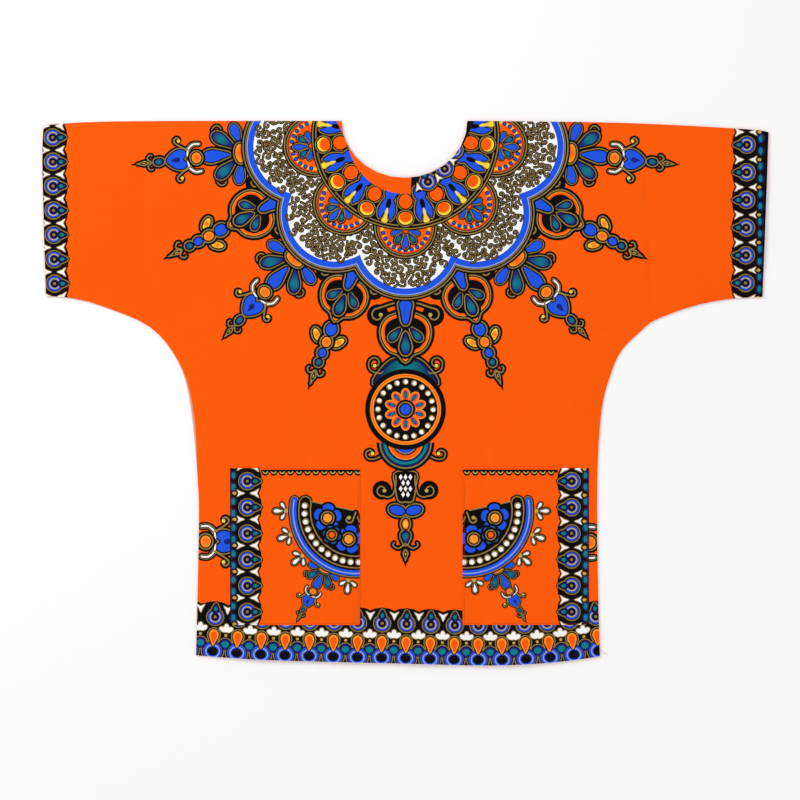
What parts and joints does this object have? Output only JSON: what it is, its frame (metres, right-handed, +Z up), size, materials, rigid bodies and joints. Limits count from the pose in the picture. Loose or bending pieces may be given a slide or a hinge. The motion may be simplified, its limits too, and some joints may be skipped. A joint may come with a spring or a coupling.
{
  "type": "dashiki shirt laid flat",
  "caption": "Loose T-shaped pullover shirt laid flat, with wide sleeves cut in one with the body, a round neck hole and patch pockets.",
  "frame": {"origin": "on the surface that the shirt lies on, under the middle of its outline", "axes": "+X across the sleeves, +Y from hem to neck, +Z up out of the front of the shirt"},
  "size_m": [1.052, 0.7888, 0.0066],
  "materials": {
    "printed_cotton": "matt plain-weave printed cotton, orange ground with blue, black, gold and white print"
  },
  "bodies": {
    "root": {"back": "printed_cotton", "front": "printed_cotton", "pocket_left": "printed_cotton", "pocket_right": "printed_cotton"}
  },
  "joints": []
}
